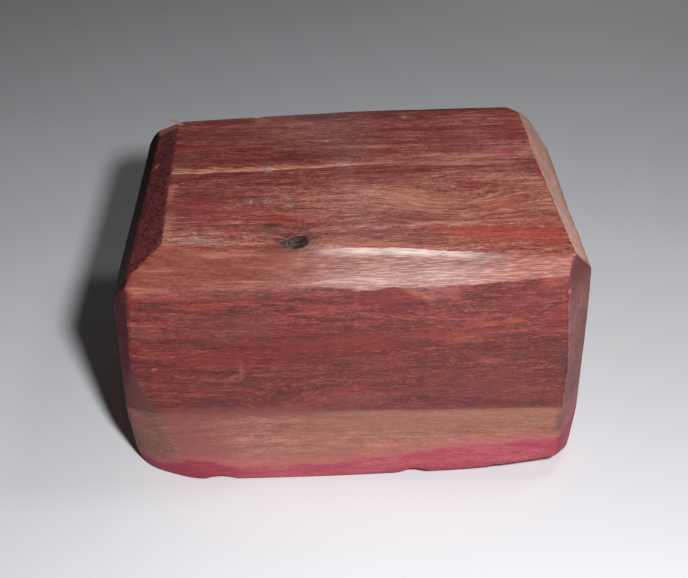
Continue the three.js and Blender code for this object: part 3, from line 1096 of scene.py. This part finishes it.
def front_streaks(graph, colour, front):
    """Two fine streaks that follow the grain of the front face, and the torn flake at its top."""
    rise = graph.blend([(5.4, graph.step(graph.x, -13, 6)), (13.9, 1.0), (0.8, graph.rough_edge)])
    away = graph.apart(graph.z, rise)
    away = graph.blend([(1.0, away), (1.6, graph.frayed)])
    ends = graph.all_of(graph.step(graph.x, -13, -9), graph.step(graph.x, 5, -1))
    crimson = graph.all_of(front, graph.step(away, 0.6, 0.1), ends)
    fall = graph.blend([(-3.2, graph.step(graph.x, -18, -10)), (17.0, 1.0)])
    near = graph.apart(graph.z, fall)
    ends = graph.all_of(graph.step(graph.x, -17, -14), graph.step(graph.x, -9, -11))
    crack = graph.all_of(front, graph.step(near, 0.22, 0.08), ends)
    # The torn flake: dark to the left of its orange edge, and pink to the right.
    offset = TEAR_Z - TEAR_SLOPE * TEAR_X
    edge = graph.blend([(TEAR_SLOPE, graph.x), (offset, 1.0), (0.8, graph.frayed)])
    beyond = graph.math("SUBTRACT", graph.z, edge)
    near = graph.apart(beyond, 0.15)
    span = graph.all_of(front, graph.step(graph.x, 5.5, 8), graph.step(graph.x, 12.5, 10.5))
    left_side = graph.step(beyond, 0.1, -0.2)
    dark = graph.all_of(front, left_side, graph.patch((5.6, FRONT, 34.8), (6, THROUGH, 2.4)))
    right_side = graph.step(beyond, -0.1, 0.3)
    pink = graph.all_of(front, right_side, graph.patch((12.6, FRONT, 35.6), (4.4, THROUGH, 2.4)))
    return tinted(graph, colour, [
        (crimson, 0.45, (140, 38, 46)),
        (crack, 0.5, (84, 36, 40)),
        (dark, 0.6, (112, 32, 34)),
        (pink, 0.5, (164, 94, 90)),
        (graph.all_of(span, graph.step(near, 1.1, 0.1)), 0.4, (188, 108, 84)),
    ])


def front_bevel_colour(graph, tones):
    """The newest cut: brown at its left, paler to the right, with dark fibres and a painted highlight along
    its top edge.
    """
    left = wood_colour(graph, tones, (100, 48, 40), (131, 73, 62), (160, 98, 82), 0.14)
    right = wood_colour(graph, tones, (112, 66, 62), (146, 94, 84), (180, 128, 114))
    colour = graph.mix(graph.step(graph.x, -16, 4), left, right)
    warm = graph.step(graph.x, 14, 29)
    to_right = graph.step(graph.x, -16, 2)
    lines = graph.noise((3.0, 0.17, 0.2), 2, 0.6, 31.0, straight=True)
    gaps = graph.step(lines, 0.49, 0.41)
    # A near-white painted highlight along the bevel's top edge, broken by the dark fibre gaps.
    painted_highlight = graph.all_of(glossy_painted_highlight_strip(graph), graph.blend([(1.0, 1.0), (-0.4, gaps)]))
    return tinted(graph, colour, [
        (warm, 0.8, (148, 78, 64)),
        (graph.step(tones["streak"], 0.55, 0.68), 0.25, (200, 146, 126)),
        (graph.all_of(graph.step(lines, 0.53, 0.63), to_right), 0.35, (212, 164, 150)),
        (graph.all_of(gaps, to_right), 0.65, (92, 54, 60)),
        (painted_highlight, 0.75, (244, 222, 215)),
    ])


def right_bevel_colour(graph, tones):
    """A stroke across the fibres' ends: pale salmon wood with upright streaks and a redder outer rim."""
    base = end_grain(graph, (216, 154, 138), (248, 194, 176), (166, 102, 94))
    streaks = graph.noise((0.8, 1.1, 5.0), 3, 0.6, 33.0, straight=True)
    outer_rim = graph.step(graph.attribute("right_bevel"), 1.3, 0.2)
    rim = graph.all_of(outer_rim, graph.step(graph.attribute("top"), -2.2, -3.2))
    green = graph.step(graph.noise((3, 6, 3), 2, 0.5, 34.0, straight=True), 0.5, 0.65)
    return tinted(graph, base, [
        (1.0, 0.35, (234, 174, 158)),
        (graph.step(streaks, 0.54, 0.66), 0.5, (240, 198, 182)),
        (graph.step(streaks, 0.46, 0.36), 0.5, (172, 110, 98)),
        (green, 0.3, (190, 160, 126)),
        (rim, 0.65, (186, 104, 98)),
    ])


def pale_wood_material():
    """The paler lower wood, and the ink that has soaked into its lower edge."""
    graph = Surface("pale_wood")
    tones = grain_tones(graph)
    colour = wood_colour(graph, tones, (116, 68, 58), (148, 96, 84), (180, 126, 108), 0.095)
    front = graph.facet("front", 0.2)
    olive = graph.all_of(graph.step(graph.z, 8, 10.5), graph.step(graph.x, -14, -4))
    left_end = graph.all_of(front, graph.step(graph.x, -14, -26))
    colour = tinted(graph, colour, [
        (graph.step(tones["hue"], 0.54, 0.7), 0.35, (154, 78, 76)),
        (graph.step(tones["cloud"], 0.55, 0.7), 0.3, (156, 110, 84)),
        (olive, 0.5, (144, 98, 76)),
        (graph.step(graph.z, 9.5, 6), 0.35, (156, 90, 84)),
        (left_end, 0.7, (124, 62, 60)),
    ])
    colour = seam_tint(graph, colour)
    ends = graph.facet("ends", 0.2, 0.2)
    colour = graph.mix(ends, colour, end_grain(graph, (140, 88, 78), (182, 126, 108), (92, 48, 46)))
    heel = wood_colour(graph, tones, (98, 58, 52), (120, 76, 66), (142, 96, 84), 0.11)
    colour = graph.mix(graph.facet("left_chamfer", 0.6, 0.5), colour, heel)
    greyed = wood_colour(graph, tones, (128, 70, 74), (155, 92, 96), (174, 114, 112))
    colour = graph.mix(graph.facet("right_chamfer", 0.12, 0.1), colour, greyed)
    pores = graph.dashes((2.6, 0.42, 0.42), 0.26, 0.4)
    grime = graph.patch((31.8, FRONT, 10.6), (0.8, 9, 2.6))
    colour = tinted(graph, colour, [(pores, 0.22, (120, 66, 58)), (grime, 0.7, (98, 66, 60))])

    # The ink's upper border rises to the right along the front, and wanders elsewhere.
    rise = graph.step(graph.x, -16, 36)
    lobe = graph.all_of(graph.step(graph.x, -31, -26), graph.step(graph.x, -18, -24))
    wander = graph.math("SUBTRACT", graph.noise((5, 5, 3), 4, 0.6, 16.0, straight=True), 0.5)
    border = graph.blend([(2.7, 1.0), (4.9, rise), (1.9, lobe), (3.2, wander)])
    depth = graph.math("SUBTRACT", border, graph.z)
    colour = graph.mix(graph.all_of(graph.step(depth, -2.8, 0.4), 0.4), colour, (186, 96, 100))
    colour = graph.mix(graph.step(depth, -0.35, 0.6), colour, ink_colour(graph, tones))

    roughness = graph.blend([(0.25, tones["fibre"]), (0.58, 1.0)])
    return graph.finish(colour, roughness, wood_normal(graph, tones, pores))


def ink_colour(graph, tones):
    """Dried crimson ink, thin over the fibres and thick in the hollows, and darker at the left with painted
    shade.
    """
    colour = wood_colour(graph, tones, (136, 46, 62), (166, 76, 88), (190, 108, 112), 0.13)
    dense = graph.step(tones["cloud"], 0.45, 0.65)
    return tinted(graph, colour, [
        (dense, 0.45, (150, 44, 66)),
        # Darker to the left: painted shade where the ink wraps onto the left chamfer.
        (graph.step(graph.x, -10, -24), 0.7, (134, 32, 50)),
    ])


def ink_material():
    graph = Surface("dried_ink")
    tones = grain_tones(graph)
    worn = graph.step(graph.noise((14, 5, 5), 4, 0.65, 17.0), 0.56, 0.68)
    colour = tinted(graph, ink_colour(graph, tones), [(worn, 0.5, (186, 116, 106))])
    roughness = graph.blend([(0.3, tones["speck"]), (0.34, 1.0)])
    normal = graph.bump(tones["fibre"], 0.06, 0.8, graph.bump(tones["streak"], 0.1, 0.6))
    return graph.finish(colour, roughness, normal)


def knot_material():
    """Dead, weathered knot: charcoal at its right, greyer at its left, scored along the y axis."""
    graph = Surface("knot")
    middle = knot_axis()[0]
    scores = graph.noise((0.32, 1.6, 0.8), 3, 0.65, 1.0, straight=True)
    fine = graph.noise((0.3, 0.3, 0.3), 3, 0.7, 2.0, straight=True)
    colour = graph.ramp(scores, [(0.36, (66, 50, 47)), (0.5, (88, 70, 65)), (0.68, (116, 96, 88))])
    to_right = graph.blend([(1.0, graph.x), (-3.0, graph.frayed)])
    right_side = graph.step(to_right, middle[0] - 0.4, middle[0] + 0.6)
    colour = tinted(graph, colour, [
        (graph.step(fine, 0.5, 0.66), 0.35, (44, 34, 33)),
        (right_side, 0.8, (38, 31, 31)),
    ])
    normal = graph.bump(fine, 0.1, 0.8, graph.bump(scores, 0.14, 0.8))
    return graph.finish(colour, graph.blend([(0.25, fine), (0.55, 1.0)]), normal, 0.3)


def splinter_material():
    """Raw wood fibre, greyish tan with a red root."""
    graph = Surface("splinter_wood")
    tones = grain_tones(graph)
    colour = wood_colour(graph, tones, (122, 84, 76), (164, 122, 110), (204, 170, 154), 0.15)
    colour = tinted(graph, colour, [(graph.step(tones["hue"], 0.5, 0.7), 0.4, (150, 78, 72))])
    roughness = graph.blend([(0.3, tones["fibre"]), (0.5, 1.0)])
    return graph.finish(colour, roughness, graph.bump(tones["fibre"], 0.05))


def floor_material():
    """A smooth, pale, faintly cool table top."""
    graph = Surface("pale_floor")
    cloud = graph.noise((60, 60, 60), 2, 0.5, 1.0, straight=True)
    colour = graph.mix(graph.step(cloud, 0.3, 0.7), (234, 236, 240), (238, 240, 244))
    fine = graph.noise((0.8, 0.8, 0.8), 2, 0.5, 2.0, straight=True)
    return graph.finish(colour, graph.blend([(0.05, fine), (0.6, 1.0)]), graph.bump(fine, 0.005), 0.2)


# ---------------------------------------------------------------- stage


def floor():
    """A wide pale floor at the height that the block stands on."""
    HALF = 1500.0
    corners = np.array([(-HALF, -HALF, 0), (HALF, -HALF, 0), (HALF, HALF, 0), (-HALF, HALF, 0)])
    made = make_object("floor", corners + [0, 0, LOW[2]], [(0, 1, 2, 3)])
    made.data.materials.append(floor_material())


def soft_light(name, place, size, power, spread=180):
    """A round area light, in metres, aimed at the block. It shines only within `spread` degrees."""
    TARGET = Vector((0, -0.005, 0.02))
    lamp = bpy.data.lights.new(name, "AREA")
    lamp.shape = "DISK"
    lamp.size = size
    lamp.energy = power
    lamp.spread = math.radians(spread)
    made = in_scene(name, lamp)
    made.location = place
    made.rotation_euler = (TARGET - Vector(place)).to_track_quat("-Z", "Y").to_euler()
    made.visible_camera = False


def lights():
    """A small soft key just right of and above the camera, a softer one overhead, a low one behind and
    a dim surround. The lamps are near the block, so their light falls off over the floor."""
    soft_light("key", (0.034, -0.1825, 0.158), 0.02, 0.55)
    soft_light("overhead", (0.075, -0.01, 0.2), 0.04, 0.022, 133)
    soft_light("behind", (0.12, 0.4, 0.055), 0.15, 0.08)
    world = bpy.data.worlds.new("studio")
    world.use_nodes = True
    background = world.node_tree.nodes["Background"]
    background.inputs["Color"].default_value = (0.95, 0.97, 1.0, 1)
    background.inputs["Strength"].default_value = 0.022
    bpy.context.scene.world = world


def camera():
    """The camera, close above the front of the block and slightly rolled."""
    DISTANCE, ELEVATION, AZIMUTH, ROLL = 0.22705, 32.22, 0.09, -1.11
    TARGET = Vector((-0.00141, -0.0005, 0.01859))
    FOCAL_IN_IMAGE_WIDTHS = 1.9348
    SENSOR = 36.0
    elevation, azimuth, roll = (math.radians(angle) for angle in (ELEVATION, AZIMUTH, ROLL))
    back = Vector((
        math.sin(azimuth) * math.cos(elevation),
        -math.cos(azimuth) * math.cos(elevation),
        math.sin(elevation),
    ))
    level = Vector((math.cos(azimuth), math.sin(azimuth), 0))
    upward = back.cross(level)
    right = level * math.cos(roll) + upward * math.sin(roll)
    upward = back.cross(right)
    lens = bpy.data.cameras.new("camera")
    lens.sensor_width = SENSOR
    lens.lens = SENSOR * FOCAL_IN_IMAGE_WIDTHS
    lens.clip_start = 0.01
    made = in_scene("camera", lens)
    turned = Matrix((right, upward, back)).transposed().to_4x4()
    made.matrix_world = Matrix.Translation(TARGET + back * DISTANCE) @ turned
    bpy.context.scene.camera = made


# ---------------------------------------------------------------- assembly


def place(piece, material, slot, *nodes):
    """Gives a finished piece its material and its body, and hides the CAD nodes that it stands for. The
    slot is not used.
    """
    piece.data.materials.clear()
    piece.data.materials.append(material)
    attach(piece, "root")
    if nodes:
        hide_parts(*nodes)


camera()
lights()
floor()

block = whole_block()
body = layer_of(block, "dark_wood_block", SEAM, None)
base = layer_of(block, "pale_wood_layer", INK_TOP, SEAM)
ink = layer_of(block, "dried_ink_film", None, INK_TOP)
bpy.data.objects.remove(block)
carve(body, knot_mesh("socket", 0.08, 1.0, sunken=False))

place(body, dark_wood_material(), "dark_wood", "dark_wood_body")
place(base, pale_wood_material(), "pale_wood", "pale_wood_base")
place(ink, ink_material(), "dried_ink", "ink_film")
place(knot_mesh("dead_knot", 0.0, 0.0, sunken=True), knot_material(), "knot_wood", "knot")
splinter_wood = splinter_material()
place(splinter(), splinter_wood, "splinter_wood", "splinter")
place(loose_fibres(), splinter_wood, "splinter_wood")

bpy.context.scene.view_settings.view_transform = "Standard"
